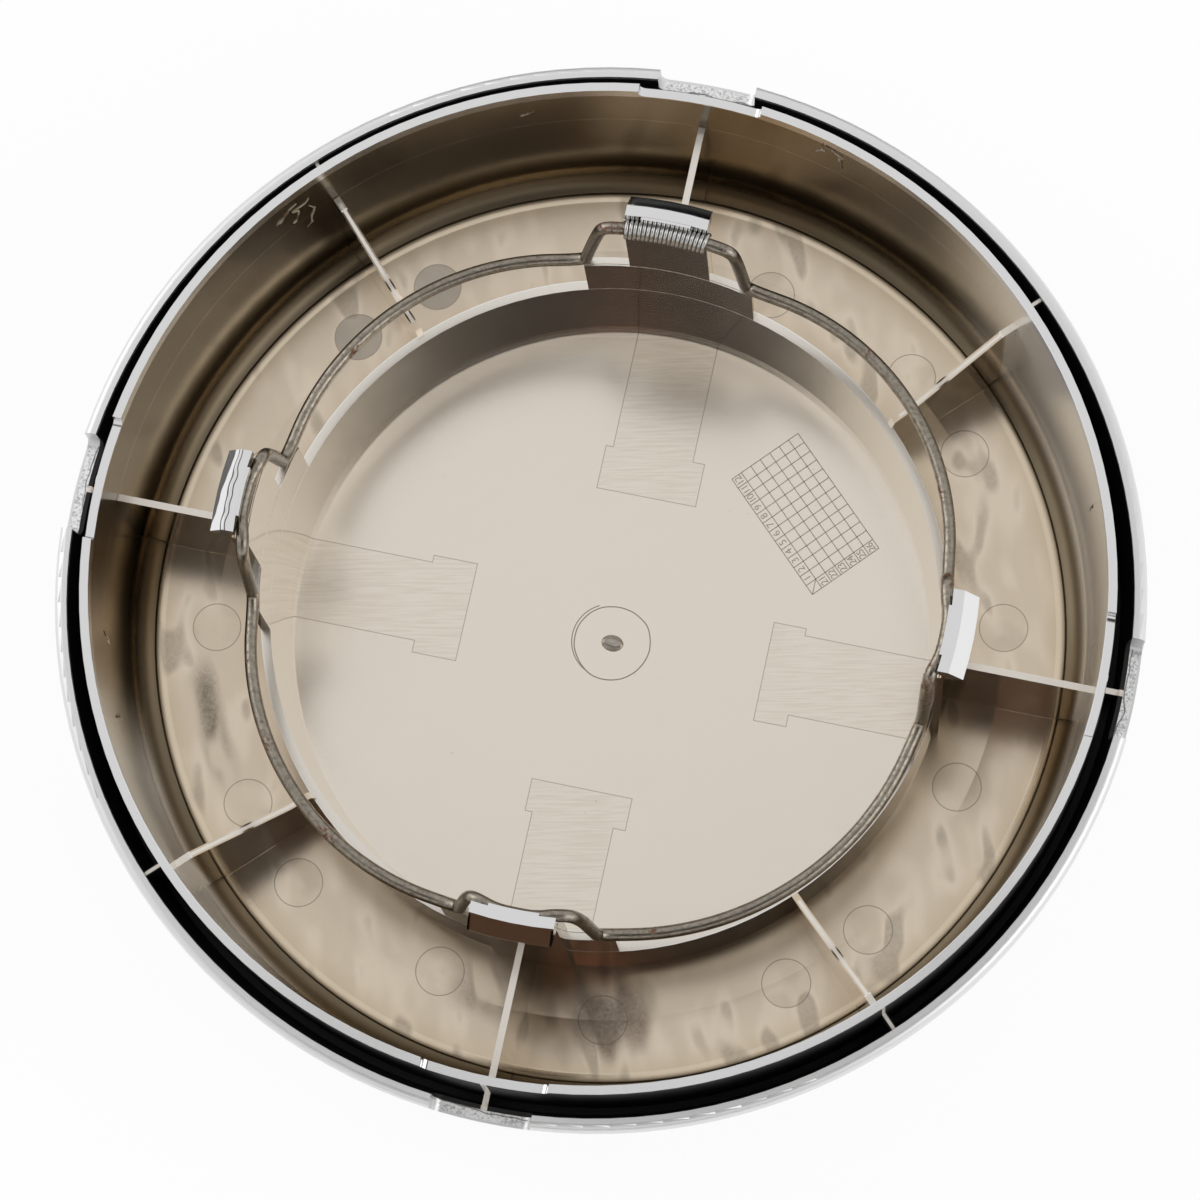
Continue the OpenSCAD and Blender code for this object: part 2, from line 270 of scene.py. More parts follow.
def tint(colour, *factors):
    """A colour with each channel multiplied; one factor serves all three."""
    return tuple(c * f for c, f in zip(colour, factors * 3 if len(factors) == 1 else factors))


# Round ejector marks on the floor: angle from the nearest leg, and radius
EJECTOR_MARKS = ((11.4, 64.0), (-13.5, 62.1))
EJECTOR_PAIR = (38.1, 64.85)
EJECTOR_R = 3.9
GATE_AT, GATE_R = (0.7, -1.3), 6.2


def slide_window(out, across, end, grow):
    """T-shaped window of the mould's slide: a stem at the leg and a wider head."""
    stem = out.within(30.5, 53.5, 0.05) * across.within(-6.1 - grow, 7.2 + grow, 0.05)
    head = (out - end).rise(-grow - 0.05, 0.05 - grow) * out.fall(31.15 + grow, 31.25 + grow)
    return stem.most(head * across.within(-7.3 - grow, 9.2 + grow, 0.05))


def body_finish(props):
    """Plated plastic: bright on the rim, hooks and edges, satin warm nickel on the floor and
    the disc, glossy on the upright faces, and bare black in the channel."""
    f = Finish("plated_body")
    nickel, chrome = tuple(props.nickel), tuple(props.chrome)
    blotch, grit = f.noise(0.12, 2.0, 0.6), f.noise(2.2, 2.0, 0.7)

    # angle from the nearest leg, and from the nearest of the eight ribs
    angle = f.y.op("ARCTAN2", f.x)
    folded = ((angle * (2 / math.pi) + 4.5).part() - 0.5) * (math.pi / 2)
    out, across = f.r * folded.op("COSINE"), f.r * folded.op("SINE")
    off_rib = abs((angle * (4 / math.pi) + 8.5).part() - 0.5) * (math.pi / 4) * f.r
    # their painted highlights on the tops are as wide as the rib at the legs, and narrower between the
    # legs
    ribs = (off_rib + abs(folded).rise(0.5, 0.6) * 0.22).fall(0.45, 0.55)

    # where the bright, the satin and the bare finishes are
    fray = (blotch - 0.5) * 1.2
    side = f.r.within(SKIRT_R - 0.05, LIP_IN_R - 0.07, 0.03)
    channel = side * (f.z + fray * 0.3).fall(LIP_Z - 0.7, LIP_Z - 0.3)
    channel = channel.most(f.r.within(SKIRT_R - 0.05, SKIRT_R + 0.5, 0.03)
                           * (f.z + fray).fall(SKIRT_Z - 0.6, SKIRT_Z - 0.2))
    channel = channel * f.z.rise(CHANNEL_Z - 1.0, CHANNEL_Z - 0.4) * (
        1 - ribs * f.z.rise(NOTCH_Z - 0.6, NOTCH_Z - 0.3) * side)
    pads = (f.z.within(NOTCH_Z - 0.2, NOTCH_Z + 0.2, 0.1) * f.r.within(81.55, 84.45, 0.05)
            * abs(across).fall(8.0, 8.1))
    lip = f.r.rise(LIP_IN_R - 0.3, LIP_IN_R - 0.05)
    rim = lip.most(pads)
    lowered = f.z.within(LOW_SKIRT_Z - 0.3, LOW_SKIRT_Z + 0.2, 0.1)
    skirt_edge = (f.z + fray * 0.7 * lowered).rise(
        LOW_SKIRT_Z - 0.4, LOW_SKIRT_Z - 0.2) * f.r.within(SKIRT_R - 1.7, SKIRT_R + 0.3, 0.05)
    skirt_edge = skirt_edge.most(lowered * (f.r + fray * 1.4).rise(SKIRT_R - 2.1, SKIRT_R - 1.9)
                                 * f.r.fall(SKIRT_R + 0.3, SKIRT_R + 0.4))
    hook = f.z.rise(GROOVE_Z + 0.4, GROOVE_Z + 0.8).most(
        f.z.rise(GROOVE_Z - 2.2, GROOVE_Z - 2.0) * f.r.rise(56.3, 56.5)) * f.r.fall(70, 71)
    front = f.z.fall(DISC_Z - 1.0, DISC_Z - 0.6).most(
        f.z.fall(FLOOR_Z - 1.4, FLOOR_Z - 1.0) * f.r.rise(RING_OUT_R + 1.0, RING_OUT_R + 1.4))
    # the outside of the bowl, round its front corner and up to the rim: the squared distance
    # from the rounding's centre is 100 outside and less than 67 inside
    corner = (f.r - CORNER_R).most(0.0).square() + (CORNER_Z - f.z).most(0.0).square()
    outside = corner.rise(67.0, 77.0) * f.r.rise(RING_OUT_R + 2.0, RING_OUT_R + 3.0)
    outside = outside * f.z.fall(CHANNEL_Z - 2.0, CHANNEL_Z - 1.0)
    bright = largest([rim, skirt_edge, hook, front, outside])
    # painted highlight on the tops of the small ribs in the channel, of the ribs in the bowl, of the
    # ring and of the shoulders
    rib_tops = ribs * (f.z.rise(NOTCH_Z - 1.9, NOTCH_Z - 1.8) * side).most(
        f.z.within(14.5, SHOULDER_Z + 0.7, 0.4) * f.r.within(RING_OUT_R + 1.5, WALL_R - 0.65, 0.2))
    ring_top = f.z.within(RING_Z - 0.1, RING_Z + 0.2, 0.05)
    ring_top = ring_top * f.r.within(RING_R - 0.2, RING_OUT_R + 0.2, 0.05)
    shoulder_top = f.z.within(SHOULDER_Z - 0.15, SHOULDER_Z + 0.1, 0.05) * f.r.fall(78, 78.4)
    tops = largest([ring_top, shoulder_top, rib_tops])
    # painted highlight: a thin bright line along the ring's outer top edge
    ring_edge_highlight = f.z.within(RING_Z - 0.15, RING_Z + 0.25, 0.05) * f.r.line(RING_OUT_R, 0.22)
    past_ring = f.r.rise(RING_OUT_R + 0.2, RING_OUT_R + 0.4)
    on_floor = f.z.within(FLOOR_Z - 0.2, FLOOR_Z + 0.2, 0.05) * past_ring
    on_disc = f.z.within(DISC_Z - 0.2, DISC_Z + 0.2, 0.05)
    satin = on_floor.most(on_disc)
    inside = f.z.rise(FLOOR_Z - 0.5, FLOOR_Z - 0.3) * past_ring
    wall = inside * f.r.rise(WALL_R - 2.15, WALL_R - 1.05)
    fillet = inside * f.r.rise(FILLET_R + 0.55, FILLET_R + 1.35)
    fillet = fillet * f.z.fall(FLOOR_Z + 1.2, FLOOR_Z + 3.0)
    # painted highlight: a faint pale gold line along the foot of the fillet
    fillet_foot_highlight = inside * f.r.line(FILLET_R + 0.15, 0.5)

    # mould marks
    def away(angle_of, r, a=across):
        """Distance from a point at an angle from the nearest leg and a radius."""
        turn = math.radians(angle_of)
        return ((out - r * math.cos(turn)).square() + (a - r * math.sin(turn)).square()).root()
    spots = [away(a, r) for a, r in EJECTOR_MARKS]
    pair = away(*EJECTOR_PAIR, a=abs(across))
    spot = spots[0].least(spots[1]).least(pair)
    mark = spot.fall(EJECTOR_R - 0.1, EJECTOR_R) * on_floor
    mark_edge = spot.line(EJECTOR_R, 0.13) * on_floor
    grey_pair = pair.fall(EJECTOR_R - 0.1, EJECTOR_R) * (f.y - f.x).rise(60, 62) * on_floor
    # each window's head reaches farther to one side, and ends nearer the axis on two legs
    wide = (f.x + f.y).op("SIGN") * -1
    end = (f.x - f.y).op("SIGN") + 25
    window = slide_window(out, across * wide, end, 0.0) * on_disc
    window_edge = slide_window(out, across * wide, end, 0.16) * on_disc - window
    gate_x, gate_y = f.x - GATE_AT[0], f.y - GATE_AT[1]
    gate_away = (gate_x.square() + gate_y.square()).root() + (blotch - 0.5) * 0.8
    second = ((gate_x + 0.55).square() + (gate_y - 0.25).square()).root()
    gate_edge = gate_away.line(GATE_R, 0.14).most(
        second.line(GATE_R, 0.12) * f.x.fall(GATE_AT[0] - 3.6, GATE_AT[0] - 3.2)) * on_disc

    # tool strokes in the windows, and soft dark smears on the floor
    strokes = f.noise(1.0, 1.0, 0.6, f.stretch(0.14, 2.4, 1.0, -12.0))
    dirt = f.noise(0.09, 1.0, 0.65, f.stretch(1.0, 2.2, 1.0, 70.0))
    dirty = (angle.within(-2.84, -2.56, 0.06) * f.r.within(64.5, 68.0, 1.5)).most(
        angle.within(-1.75, -1.62, 0.05) * f.r.within(58.0, 66.0, 2.0) * 0.7)
    stain = (spots[0] + dirt * 14).fall(9.5, 16.0) * f.y.fall(-55, -52) * on_floor
    smears = (dirt.rise(0.60, 0.70) * 0.5).most(dirt.rise(0.34, 0.52) * dirty) * on_floor

    # colour
    floor_tone = tint(nickel, *props.floor_tone)
    satin_floor = f.blend(dirt.rise(0.40, 0.62), floor_tone, tint(floor_tone, 1.12, 1.13, 1.15))
    satin_floor = f.blend(f.r.fall(56, 62).most(f.r.rise(69, 73)) * 0.5, satin_floor,
                          tint(floor_tone, 0.86, 0.80, 0.70))
    colour = f.blend(inside, nickel, satin_floor)
    wall_colour = tint(nickel, *props.wall_tone)
    # painted reflection: the wall is painted paler on its right and lower left, and deeper on its left
    # and at its top
    pale = f.x.rise(38, 60).most(f.y.fall(-42, -24) * f.x.fall(-48, -28))
    pale = pale * wall * f.r.fall(SKIRT_R - 1.3, SKIRT_R - 1.2)
    painted_deep_reflection = (f.x.fall(-60, -35) * f.y.rise(-30, -10)).most(
        f.y.rise(58, 70) * f.x.rise(-25, -5) * 0.8)
    walls_with_painted_reflection = f.blend(painted_deep_reflection, wall_colour, tint(wall_colour, 0.55))
    colour = f.blend(pale, f.blend(wall, colour, walls_with_painted_reflection), tint(nickel, 1.1, 1.13, 1.16))
    colour = f.blend(fillet, colour, tint(nickel, *props.fillet_tone))
    # the fillet's painted foot highlight
    colour = f.blend(fillet_foot_highlight * 0.25, colour, (0.92, 0.83, 0.66))
    dull = tint(nickel, 0.50, 0.45, 0.38)
    colour = f.blend(mark * blotch.rise(0.45, 0.7) * 0.35, colour, dull)
    colour = f.blend(grey_pair * 0.6, colour, (0.30, 0.28, 0.24))
    colour = f.blend(smears * (grit * 0.7 + 0.45), colour, tint(dull, 0.45))
    colour = f.blend(stain * (grit * 0.6 + 0.5), colour, (0.17, 0.13, 0.10))
    colour = f.blend(window * strokes.rise(0.35, 0.7) * 0.35, colour, tint(nickel, 0.82, 0.78, 0.72))
    # pale painted highlight on the tops
    colour = f.blend(tops, colour, tuple(props.edge))
    lines = largest([mark_edge * 0.5, window_edge * 0.45, gate_edge * 0.8])
    colour = f.blend(lines, colour, (0.14, 0.10, 0.07))
    # the ring's painted edge highlight
    colour = f.blend(ring_edge_highlight, colour, (0.95, 0.93, 0.90))
    colour = f.blend(bright, colour, chrome)
    # the slopes of the upper hook, and the ends of the lower one's, are black
    slope = hook * f.r.rise(56.9, 57.0) * f.z.fall(HOOK_Z - 0.2, HOOK_Z - 0.05)
    slope = slope * f.y.rise(50, 52).most(f.y.fall(-52, -50) * abs(across).rise(6.0, 6.3))
    # the left hook is worn to black at its outer edge and in streaks along it
    wavy = f.r + (blotch - 0.5) * 3.0
    wear = hook * f.x.fall(-52, -50) * largest([
        (wavy + f.y * 0.08).rise(58.2, 58.4), wavy.line(57.0, 0.16), wavy.line(56.3, 0.12)]) * 0.9
    colour = f.blend(slope.most(wear), colour, (0.02, 0.018, 0.015))
    parting = (f.r - LIP_IN_R - (blotch - 0.5) * 3.2).line(0.0, 0.16)
    speckled = f.blend(grit.rise(0.36, 0.56), (0.56, 0.56, 0.57), (0.97, 0.97, 0.97))
    colour = f.blend(pads, colour, speckled)
    colour = f.blend(pads * f.r.fall(82.2, 83.4) * 0.8, colour, (0.80, 0.66, 0.52))
    colour = f.blend(pads * parting * 0.7, colour, (0.05, 0.05, 0.05))
    specks = grit.rise(0.72, 0.78) * blotch.rise(0.52, 0.62)
    colour = f.blend(specks * 0.7, colour, (0.05, 0.03, 0.02))
    colour = f.blend(channel, colour, (0.004, 0.004, 0.004))
    roughness = (0.07 + blotch * 0.04 + satin * 0.12 + wall * 0.08 + fillet * 0.30
                 + lip * 0.22 + tops * 0.15 + channel * 0.45)
    # the legs' faces lean outwards by a few degrees
    lean = f.r.fall(RING_R + 0.25, RING_R + 0.35) * (f.z - (RING_Z + 0.2)).most(0.0)
    # the floor rises gently towards its outer edge
    dish = (f.r - 64.0).most(0.0) * on_floor
    height = ((strokes - 0.5) * on_disc * 0.004 + (blotch - 0.5) * 0.012
              - lean * 0.08 + dish * 0.06)
    # share of the surface that isn't metal; the wall's painted pale reflection counts partly as not
    # metal
    solid = largest([channel, rib_tops * 0.6, pale * 0.6, lip * 0.3])
    return f.surface(colour, 1 - solid, roughness, height)


def wire_finish(props):
    """Drawn steel wire: grey-tan, finely scored along its length, pitted and rusty in places."""
    f = Finish("wire_steel")
    along = f.node("Attribute", {"attribute_name": "along"}, output="Fac")
    pits = f.noise(1.3, 3.0, 0.65)
    patch = f.noise(0.14, 2.0, 0.6)
    rust = patch.rise(0.60, 0.70) * pits.rise(0.45, 0.6)
    colour = f.blend(pits.rise(0.3, 0.75), tuple(props.steel), tint(props.steel, 0.55))
    colour = f.blend(rust, colour, tuple(props.rust))
    score = f.noise(1.0, 1.0, 0.6, f.join(along * 0.15, f.z * 6, f.r * 6))
    height = (score - 0.5) * 0.02 - pits.rise(0.55, 0.7) * 0.03
    return f.surface(colour, 1 - rust * 0.7, 0.24 + rust * 0.4 + pits * 0.10, height)


def mark_finish(props):
    """Satin plating on the mould's small raised marks, a little darker than the disc."""
    f = Finish("raised_marks")
    grain = f.noise(1.5, 2.0, 0.6)
    colour = f.blend(grain.rise(0.3, 0.7), tint(props.nickel, 0.42), tint(props.nickel, 0.55))
    return f.surface(colour, 1.0, 0.30 + grain * 0.1, (grain - 0.5) * 0.004)


def coil_finish():
    """Bright drawn spring wire."""
    f = Finish("coil_steel")
    grain = f.noise(2.5, 3.0, 0.6)
    colour = f.blend(grain.rise(0.35, 0.75), (0.62, 0.61, 0.59), (0.38, 0.37, 0.35))
    return f.surface(colour, 1.0, 0.22 + grain * 0.15, (grain - 0.5) * 0.01)


def lint_finish():
    """Dull pale shreds of plating, browner in places."""
    f = Finish("lint")
    grain = f.noise(0.4, 2.0, 0.6)
    colour = f.blend(grain.rise(0.45, 0.6), (0.50, 0.44, 0.34), (0.16, 0.10, 0.06))
    return f.surface(colour, 0.3, 0.5, grain * 0.02)


# Pieces

# Radius at which the wire rests on the shoulders, and how far it bows out between the legs
WIRE_R = 54.3
BOWS = (2.5, 2.9, 1.6, 3.2)
# Foot and head of a riser, in degrees from its leg's middle: anticlockwise, clockwise
RISERS = ((12.1, 9.9), (11.2, 8.3))
COIL_RISERS = ((14.3, 11.2), (13.4, 11.8))
# The wire's points in a groove, in degrees from its middle
GROOVE_ANGLES = (3.3, 6.6)


def wire_route(props):
    """Route of the wire: a flat bow between two legs, a riser at each side of a leg and
    an arc in the groove under its hook, as rows of radius, angle and height."""
    rest = SHOULDER_Z + props.wire_d / 2 + SEAT
    low_r, clip_r = WIRE_R + 0.1, GROOVE_R + 0.74
    riser_out, riser_in = RISERS
    coil_out, coil_in = COIL_RISERS
    near, far = GROOVE_ANGLES

    def bay(a0, a1, bow):
        u = np.linspace(-1, 1, 7)
        return [(WIRE_R + bow * (1 - t * t), a0 + (a1 - a0) * (t + 1) / 2, rest) for t in u]

    def leg(a):
        return [(low_r, a - riser_in[0] + 0.6, rest + 3),
                (GROOVE_R, a - riser_in[1], GROOVE_Z - 1), (GROOVE_R, a - far, GROOVE_Z),
                (clip_r, a - near, GROOVE_Z), (clip_r, a, GROOVE_Z), (clip_r, a + near, GROOVE_Z),
                (GROOVE_R, a + far, GROOVE_Z), (GROOVE_R, a + riser_out[1], GROOVE_Z - 1),
                (low_r, a + riser_out[0] - 0.4, rest + 3)]

    def end(side, riser):
        rows = [(0.53, GROOVE_Z), (near, GROOVE_Z), (7.0, GROOVE_Z), (riser[1] - 0.8, GROOVE_Z),
                (riser[1] + 0.2, GROOVE_Z - 2.5)]
        return [(GROOVE_R, COIL_LEG + side * a, z) for a, z in rows] + [
            (WIRE_R, COIL_LEG + side * (riser[0] - 0.3), rest + 2.5)]

    rows = end(1, coil_out) + bay(90 + coil_out[0], 180 - riser_in[0], BOWS[0])
    rows += leg(180) + bay(180 + riser_out[0], 270 - riser_in[0], BOWS[1])
    rows += leg(270) + bay(270 + riser_out[0], 360 - riser_in[0], BOWS[2])
    rows += leg(360) + bay(360 + riser_out[0], 450 - coil_in[0], BOWS[3])
    return rows + end(-1, coil_in)[::-1]


def make_wire(props):
    """Retaining wire: a round tube along its route, whose corners are cut four times."""
    path = evenly(soften(cyl(wire_route(props)), 4), 0.7)
    outward = unit(path * (1, 1, 0))
    radii = np.full((len(path), props.wire_sides), props.wire_d / 2)
    obj = add_tube("wire_fine", path, outward, radii, props.wire_sides)
    obj.data.materials.append(wire_finish(bpy.context.scene.cap_metal))
    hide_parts("retaining_wire")
    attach(obj, "root")


def make_coil(props):
    """Helix round the groove's arc: radius = groove + mean * cos(turn), height = groove +
    mean * sin(turn), and the angle runs evenly from one end of the coil to the other."""
    turns, wire = props.coil_turns, props.coil_wire
    steps, sides, clear = 24, 10, 0.1
    mean = (props.wire_d + wire) / 2 + clear
    half = math.degrees(props.coil_len / 2 / GROOVE_R)
    t = np.linspace(0, 1, turns * steps + 1)
    turn = 2 * np.pi * turns * t
    path = cyl(np.stack([GROOVE_R + mean * np.cos(turn), COIL_LEG - half + 2 * half * t,
                         GROOVE_Z + mean * np.sin(turn)], 1))
    a = np.radians(COIL_LEG - half + 2 * half * t + 90)
    axis = np.stack([np.cos(a), np.sin(a), 0 * a], 1)
    obj = add_tube("coil_fine", path, axis, np.full((len(path), sides), wire / 2), sides)
    obj.data.materials.append(coil_finish())
    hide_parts("coil_spring")
    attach(obj, "root")


# Dating table on the disc: corner with the diagonal, ends of its long and short sides, cells
GRID_FOOT, GRID_LONG, GRID_SHORT = (31.1, 13.2), (14.2, 29.7), (40.2, 23.0)
GRID_ALONG, GRID_ACROSS = 13, 7
# Height of its lines and numbers above the disc
MARK_H = 0.04


def bars(name, segments, wide, high, base):
    """Flat bars along line segments: each is a box as wide as stated, with a bevelled top.
    Corner = end of the segment + side * width * offset."""
    a, b = np.asarray(segments, float)[:, 0], np.asarray(segments, float)[:, 1]
    along = unit(b - a)
    side = np.stack([-along[:, 1], along[:, 0]], 1)
    offsets = ((-0.5, 0.0), (-0.32, high), (0.32, high), (0.5, 0.0))
    rows = [np.column_stack([end + side * (wide * o), np.full(len(a), base + h)])
            for end in (a, b) for o, h in offsets]
    verts = np.stack(rows, 1).reshape(-1, 3)
    cell = [(0, 1, 5, 4), (1, 2, 6, 5), (2, 3, 7, 6), (0, 3, 2, 1), (4, 5, 6, 7), (0, 4, 7, 3)]
    faces = [tuple(8 * i + k for k in q) for i in range(len(a)) for q in cell]
    return add_mesh(name, verts, faces, smooth=False)


def make_grid(props):
    """Dating table of the mould: thirteen by seven cells with plain numbers on two sides."""
    corner, far, near = (np.asarray(c) for c in (GRID_FOOT, GRID_LONG, GRID_SHORT))
    lines = []
    for i in range(GRID_ALONG + 1):
        p = corner + (far - corner) * i / GRID_ALONG
        lines.append((p, p + near - corner))
    for i in range(GRID_ACROSS + 1):
        p = corner + (near - corner) * i / GRID_ACROSS
        lines.append((p, p + far - corner))
    step_a, step_b = (far - corner) / GRID_ALONG, (near - corner) / GRID_ACROSS
    lines.append((corner, corner + step_a + step_b))
    grid = bars("date_grid", lines, props.line, MARK_H, DISC_Z)
    parts = [grid]
    turn = math.atan2(step_a[1], step_a[0])
    labels = [(str(i), corner + step_a * (i + 0.5) + step_b * 0.5) for i in range(1, GRID_ALONG)]
    labels += [(str(20 + i), corner + step_b * (i + 0.5) + step_a * 0.5)
               for i in range(1, GRID_ACROSS)]
    for text, at in labels:
        curve = bpy.data.curves.new("number", "FONT")
        curve.body, curve.size, curve.extrude = text, props.number * MM, MARK_H / 2 * MM
        curve.align_x, curve.align_y, curve.space_character = "CENTER", "CENTER", 0.85
        curve.resolution_u = 3
        made = bpy.data.objects.new("number_" + text, curve)
        bpy.context.scene.collection.objects.link(made)
        bpy.context.view_layer.update()
        graph = bpy.context.evaluated_depsgraph_get()
        mesh = bpy.data.meshes.new_from_object(made.evaluated_get(graph))
        bpy.data.objects.remove(made)
        place = Matrix.Translation(Vector((at[0], at[1], DISC_Z + MARK_H / 2)) * MM)
        mesh.transform(place @ Matrix.Rotation(turn, 4, "Z"))
        obj = bpy.data.objects.new("number_" + text, mesh)
        bpy.context.scene.collection.objects.link(obj)
        parts.append(obj)
    with bpy.context.temp_override(active_object=grid, selected_editable_objects=parts):
        bpy.ops.object.join()
    grid.data.materials.clear()
    grid.data.materials.append(mark_finish(bpy.context.scene.cap_metal))
    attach(grid, "root")


def make_pip(props):
    """Stump of the gate: a low round cone whose top is cut to a lens by two slanting planes.
    Height = least of the cone's side, the two slopes and the flat top."""
    n, m = 40, 14
    longer, top = 1.25, 0.42
    t, k = np.meshgrid(np.linspace(0, 1, m), np.linspace(0, 2 * np.pi, n, endpoint=False),
                       indexing="ij")
    stretch = 1 + (longer - 1) * np.cos(k) ** 2
    x, y = props.pip_r * t * stretch * np.cos(k), props.pip_r * t * np.sin(k)
    bulge = np.cos(np.clip(x / props.pip_r / longer, -1, 1) * np.pi / 2)
    slope = 0.5 - 0.55 * (np.abs(y) - 0.42 * bulge)
    edge = (1 - t) * 2.4
    z = np.clip(np.minimum(np.minimum(edge, slope), top), 0, None) - 0.02 * (t > 0.99)
    turn = math.radians(-3)
    wx = GATE_AT[0] + x * math.cos(turn) - y * math.sin(turn)
    wy = GATE_AT[1] + x * math.sin(turn) + y * math.cos(turn)
    verts = np.stack([wx, wy, DISC_Z + z], -1).reshape(-1, 3)
    faces = [list(q) for q in grid_faces(m, n, around=True)]
    faces.append(list(range((m - 1) * n, m * n))[::-1])
    obj = add_mesh("gate_pip", verts, faces)
    obj.data.materials.append(mark_finish(bpy.context.scene.cap_metal))
    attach(obj, "root")


# Scrapings that cling to the wall: angle, height, spread in degrees, spread in height
LINT = ((139.4, 37, 3.4, 6), (141.4, 40, 2.6, 3), (138.6, 33, 1.2, 6), (75.6, 41, 1.6, 4),
        (73.4, 42, 2.2, 2.4), (72.6, 40, 0.8, 5), (205.5, 30, 0.9, 5), (196.5, 31, 0.7, 4),
        (110.4, 38.5, 1.6, 1), (21.7, 33, 0.6, 7))


def make_lint(props):
    """Fine curly scrapings on the wall: each is a thin tube whose angle and height wander,
    on the wall's radius, which grows by 1 mm from the fillet to the skirt's top."""
    chance = np.random.default_rng(5)
    knots, sides = 9, 6
    parts = []
    for i, (a, z, wide, tall) in enumerate(LINT):
        t = np.linspace(0, 1, knots)
        turn = a + wide * (chance.uniform(-0.5, 0.5, knots) + 0.5 * np.sin(3 * t + i))
        high = z + tall * (t - 0.5 + chance.uniform(-0.25, 0.25, knots))
        radius = WALL_R + (high - FLOOR_Z - 5.0) / (SKIRT_Z - FLOOR_Z - 5.0) - 0.08
        path = evenly(soften(cyl(np.stack([radius, turn, high], 1)), 3), 0.25)
        thin = props.lint_r * (0.5 + np.sin(np.linspace(0.3, 2.9, len(path))))
        radii = np.repeat(thin[:, None], sides, 1)
        parts.append(add_tube("lint", path, unit(path * (1, 1, 0)), radii, sides))
    with bpy.context.temp_override(active_object=parts[0], selected_editable_objects=parts):
        bpy.ops.object.join()
    parts[0].data.materials.append(lint_finish())
    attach(parts[0], "root")


# Stage

def plain_material(name, colour):
    """Matt card of one colour."""
    f = Finish(name)
    shader = f.node("BsdfDiffuse", values={"Color": (*colour, 1.0)})
    f.node("OutputMaterial", values={"Surface": shader})
    return f.material


def floor_material():
    """Pale floor that looks white to the camera and in reflections, and keeps a soft shadow."""
    f = Finish("floor")
    path = f.node("LightPath", output="Is Camera Ray")
    glossy = Signal(f, path.socket.node.outputs["Is Glossy Ray"])
    seen = path.most(glossy)
    shade = f.node("BsdfDiffuse", values={"Color": (0.86, 0.86, 0.86, 1.0)})
    white = f.node("Emission", values={"Color": (1, 1, 1, 1), "Strength": 1.03})
    mixed = f.node("MixShader", values=[seen * 0.85, shade, white])
    f.node("OutputMaterial", values={"Surface": mixed})
    return f.material


def make_world(strength):
    """Even light of the given strength that looks white to the camera and in reflections."""
    world = bpy.data.worlds.new("studio")
    bpy.context.scene.world = world
    world.use_nodes = True
    tree = world.node_tree
    tree.nodes.clear()
    path = tree.nodes.new("ShaderNodeLightPath")
    seen = tree.nodes.new("ShaderNodeMath")
    seen.operation = "MAXIMUM"
    tree.links.new(path.outputs["Is Camera Ray"], seen.inputs[0])
    tree.links.new(path.outputs["Is Glossy Ray"], seen.inputs[1])
    level = tree.nodes.new("ShaderNodeMapRange")
    level.inputs["To Min"].default_value = strength
    level.inputs["To Max"].default_value = 1.0
    tree.links.new(seen.outputs[0], level.inputs["Value"])
    sky = tree.nodes.new("ShaderNodeBackground")
    tree.links.new(level.outputs[0], sky.inputs["Strength"])
    out = tree.nodes.new("ShaderNodeOutputWorld")
    tree.links.new(sky.outputs[0], out.inputs[0])


# The camera in the part's axes: its place, where it looks, which way is up in the picture,
# and its focal length on a frame 36 mm wide
EYE, LOOK, UP = (67.64, -138.98, 670.86), (-0.1026, 0.2102, -0.9723), (-0.2113, 0.9774, 0.0)
FOCAL_LENGTH = 125.6
# What the plating mirrors: cards over the cap and behind the camera, in the picture's axes,
# as left, bottom, right, top, height and colour
BLACK, JET, GREY = (0.03, 0.028, 0.027), (0.01, 0.01, 0.01), (0.22, 0.20, 0.17)
OVERHEAD_CARDS = (
    ("card_camera", -330, -600, 310, -62, 685, BLACK),
    ("card_left", -225, -62, -100, 0, 685, GREY),
    ("card_right", 70, -62, 280, 32, 685, GREY),
    ("card_copper", -85, -260, -30, -150, 680, (0.42, 0.19, 0.12)),
)
# Cards that stand beyond the cap and before it: centre, width, height and colour
UPRIGHT_CARDS = (
    ("card_far", (-130, 620, 60), 700, 160, JET),
    ("card_near", (130, -620, 80), 700, 160, (0.09, 0.045, 0.022)),
)
# Card that lies beyond the cap, just over the floor
LOW_CARD = ((-185, 160, 1.5), (75, 160, 1.5), (75, 360, 1.5), (-185, 360, 1.5))


def add_card(name, corners, colour):
    """Studio card out of the camera's view: a flat piece with the given corners."""
    obj = add_mesh(name, corners, [(0, 1, 2, 3)], smooth=False)
    obj.data.materials.append(plain_material(name, colour))
    obj.visible_camera = obj.visible_diffuse = obj.visible_shadow = False


def add_overhead(name, x0, y0, x1, y1, z, colour):
    """Level card above the cap, square to the picture: x to its right and y to its top."""
    c, s = math.cos(PICTURE_TURN), math.sin(PICTURE_TURN)
    add_card(name, [(x * c - y * s, x * s + y * c, z)
                    for x, y in ((x0, y0), (x1, y0), (x1, y1), (x0, y1))], colour)


def add_upright(name, centre, width, height, colour):
    """Upright card that faces the cap's axis."""
    centre = np.asarray(centre, float)
    side = unit(np.array([-centre[1], centre[0], 0.0])) * width / 2
    tall = np.array([0.0, 0.0, height / 2])
    add_card(name, [centre - side - tall, centre + side - tall, centre + side + tall,
                    centre - side + tall], colour)


def add_lamp(name, place, target, size, power):
    """Square lamp that faces a target; both places are in metres."""
    light = bpy.data.lights.new(name, "AREA")
    light.shape, light.size, light.energy = "SQUARE", size, power
    obj = bpy.data.objects.new(name, light)
    bpy.context.scene.collection.objects.link(obj)
    obj.location = place
    obj.rotation_euler = (Vector(target) - Vector(place)).to_track_quat("-Z", "Y").to_euler()


